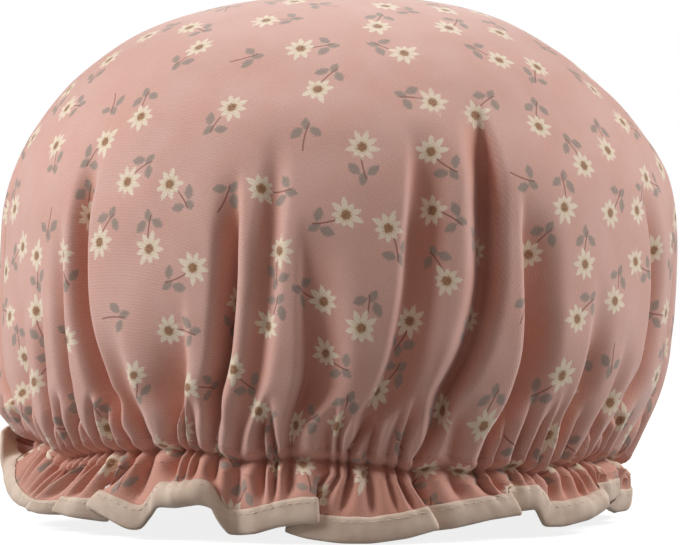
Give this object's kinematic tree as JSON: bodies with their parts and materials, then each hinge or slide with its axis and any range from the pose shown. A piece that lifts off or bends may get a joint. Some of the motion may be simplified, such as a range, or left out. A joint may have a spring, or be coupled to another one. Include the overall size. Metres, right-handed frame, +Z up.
{
  "type": "shower cap",
  "caption": "Bouffant shower cap: printed cloth over a waterproof lining, gathered on a hidden elastic band, with a ruffle whose hem is edged in plain binding tape.",
  "frame": {"origin": "on the surface that the hem stands on, under the middle of the crown", "axes": "+Z up through the crown, -Y towards the front of the cap as pictured, +X to the right of that view"},
  "size_m": [0.272, 0.2709, 0.208],
  "materials": {
    "printed_cloth": "matte twill",
    "lining_film": "satin film",
    "elastic_tape": "ribbed knit",
    "binding_tape": "matte plain weave",
    "pink_thread": "satin",
    "cream_thread": "satin"
  },
  "bodies": {
    "root": {"outer_cloth": "printed_cloth", "waterproof_lining": "lining_film", "elastic_band": "elastic_tape", "elastic_bar_tack": "cream_thread", "hem_binding": "binding_tape", "casing_thread_upper": "pink_thread", "casing_thread_lower": "pink_thread", "binding_thread": "cream_thread"}
  },
  "joints": []
}
